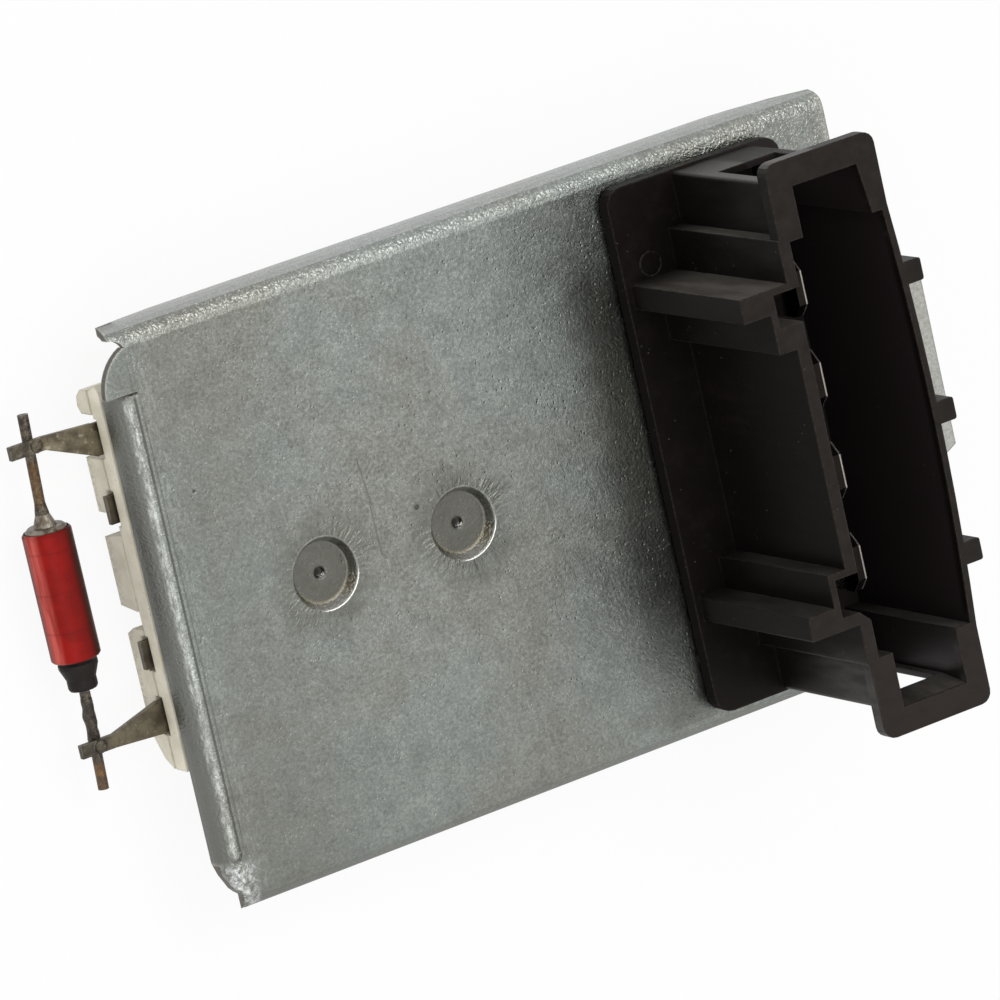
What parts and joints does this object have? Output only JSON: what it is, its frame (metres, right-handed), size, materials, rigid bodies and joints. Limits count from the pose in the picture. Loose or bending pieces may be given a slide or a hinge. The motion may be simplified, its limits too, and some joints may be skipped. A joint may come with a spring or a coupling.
{
  "type": "blower motor resistor",
  "caption": "Blower motor resistor: folded steel casing over a cream ceramic carrier, red thermal fuse on welded arms, and a black moulded connector housing with upright blades",
  "frame": {"origin": "Bottom centre of the bounding box, on the flat back of the casing.", "axes": "+X runs along the casing from the thermal fuse to the connector end, +Y across the casing, +Z out of the casing's back towards the open mouth of the connector."},
  "size_m": [0.0816, 0.0484, 0.0262],
  "materials": {
    "steel": "galvanised sheet with spangle, dulled by heat",
    "rear_steel": "galvanised sheet",
    "ceramic": "cream heat-proof moulding",
    "nichrome": "drawn resistance wire",
    "tinned": "tin-plated strip",
    "tarnished": "strip browned by heat",
    "fuse_can": "dull metal can",
    "red_sleeve": "glossy red sleeve",
    "resin": "dark sealing resin",
    "lead_wire": "tinned wire, browned at the welds",
    "plastic": "black glass-filled moulding"
  },
  "bodies": {
    "root": {"front_casing": "steel", "rear_casing": "rear_steel", "carrier_front": "ceramic", "carrier_rear": "ceramic", "resistor_coil_low": "nichrome", "resistor_coil_mid": "nichrome", "resistor_coil_high": "nichrome", "terminal_1": "tinned", "terminal_2": "tinned", "terminal_3": "tinned", "terminal_4": "tinned", "fuse_arm_upper": "tarnished", "fuse_arm_lower": "tarnished", "link_strip": "tarnished", "fuse_case": "fuse_can", "fuse_sleeve": "red_sleeve", "fuse_seal": "resin", "fuse_lead_upper": "lead_wire", "fuse_lead_lower": "lead_wire", "clamp_rivet_1": "steel", "clamp_rivet_2": "steel", "connector_housing": "plastic"}
  },
  "joints": []
}
